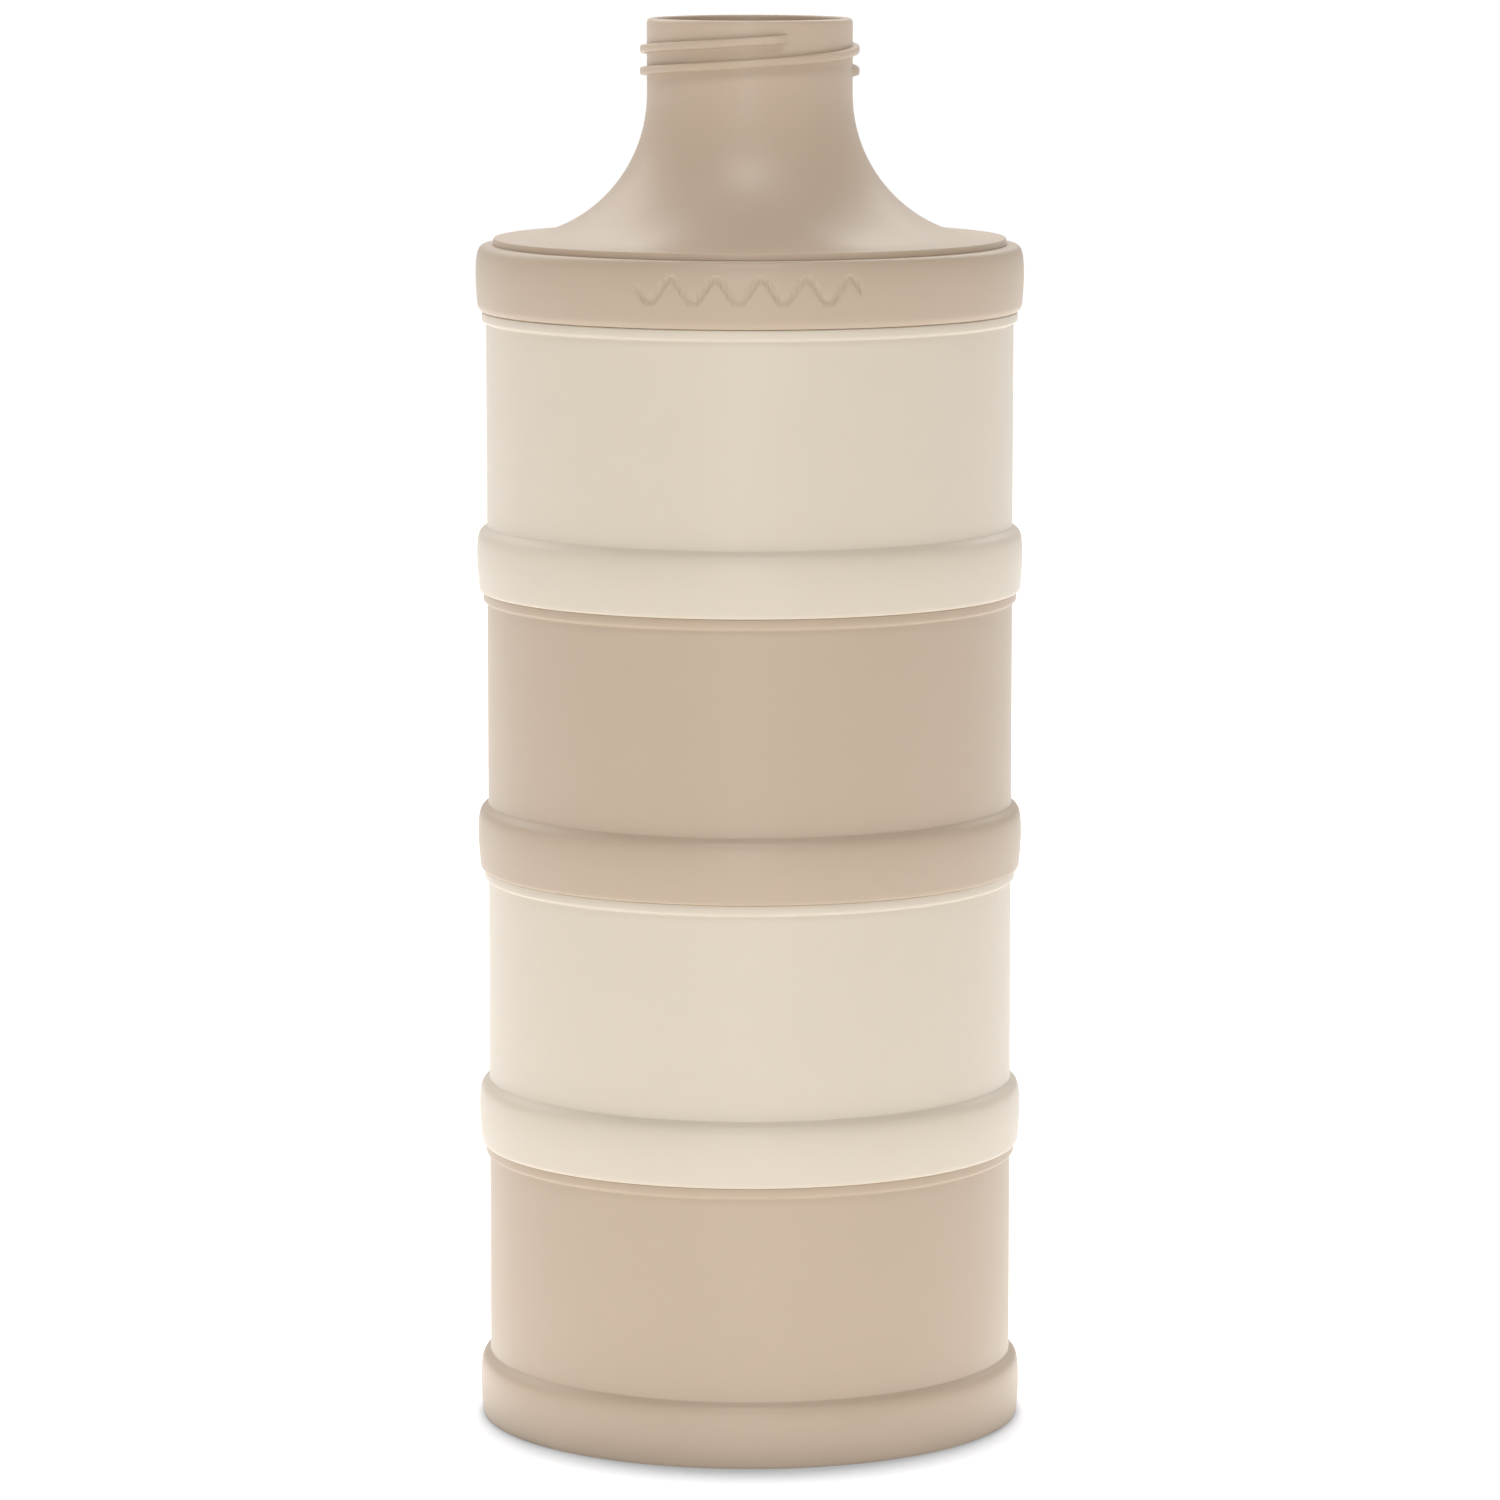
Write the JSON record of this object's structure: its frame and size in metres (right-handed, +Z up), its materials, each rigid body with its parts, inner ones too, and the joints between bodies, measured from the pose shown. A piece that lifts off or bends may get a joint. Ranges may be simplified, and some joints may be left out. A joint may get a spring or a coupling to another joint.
{
  "type": "formula dispenser",
  "caption": "Stack of round screw-together cups for milk powder, under a collar with a flared funnel and an open threaded neck.",
  "frame": {"origin": "centre of the ring that the bottom cup stands on", "axes": "+Z up along the stack's axis to the funnel's mouth; -Y is the front, where the collar carries a shallow groove in the shape of a wave"},
  "size_m": [0.078, 0.078, 0.201],
  "materials": {
    "cream_plastic": "satin moulded polypropylene, cream",
    "sand_plastic": "satin moulded polypropylene, light tan",
    "silicone": "translucent milky silicone"
  },
  "bodies": {
    "cup_1": {"cup_1": "sand_plastic", "seal_1": "silicone"},
    "seal_2": {"seal_2": "silicone"},
    "cup_2": {"cup_2": "cream_plastic"},
    "seal_3": {"seal_3": "silicone"},
    "cup_3": {"cup_3": "sand_plastic"},
    "seal_4": {"seal_4": "silicone"},
    "cup_4": {"cup_4": "cream_plastic"},
    "lid_seal": {"lid_seal": "silicone"},
    "lid": {"collar": "sand_plastic", "funnel": "sand_plastic"}
  },
  "joints": [
    {"name": "cup_2_lift", "type": "slide", "parent": "cup_1", "child": "seal_2", "axis": [0, 0, 1], "range_m": [0, 0.00939]},
    {"name": "cup_2_turn", "type": "hinge", "parent": "seal_2", "child": "cup_2", "pos_m": [0, 0, 0.0481], "axis": [0, 0, 1], "range_deg": [0, 540]},
    {"name": "cup_3_lift", "type": "slide", "parent": "cup_2", "child": "seal_3", "axis": [0, 0, 1], "range_m": [0, 0.00939]},
    {"name": "cup_3_turn", "type": "hinge", "parent": "seal_3", "child": "cup_3", "pos_m": [0, 0, 0.088], "axis": [0, 0, 1], "range_deg": [0, 540]},
    {"name": "cup_4_lift", "type": "slide", "parent": "cup_3", "child": "seal_4", "axis": [0, 0, 1], "range_m": [0, 0.00939]},
    {"name": "cup_4_turn", "type": "hinge", "parent": "seal_4", "child": "cup_4", "pos_m": [0, 0, 0.1279], "axis": [0, 0, 1], "range_deg": [0, 540]},
    {"name": "lid_lift", "type": "slide", "parent": "cup_4", "child": "lid_seal", "axis": [0, 0, 1], "range_m": [0, 0.00939]},
    {"name": "lid_turn", "type": "hinge", "parent": "lid_seal", "child": "lid", "pos_m": [0, 0, 0.1678], "axis": [0, 0, 1], "range_deg": [0, 540]}
  ],
  "couplings": [
    {"joint": "cup_2_lift", "follows": "cup_2_turn", "m_per_rad": 0.00098676},
    {"joint": "cup_3_lift", "follows": "cup_3_turn", "m_per_rad": 0.00098676},
    {"joint": "cup_4_lift", "follows": "cup_4_turn", "m_per_rad": 0.00098676},
    {"joint": "lid_lift", "follows": "lid_turn", "m_per_rad": 0.00098676}
  ]
}
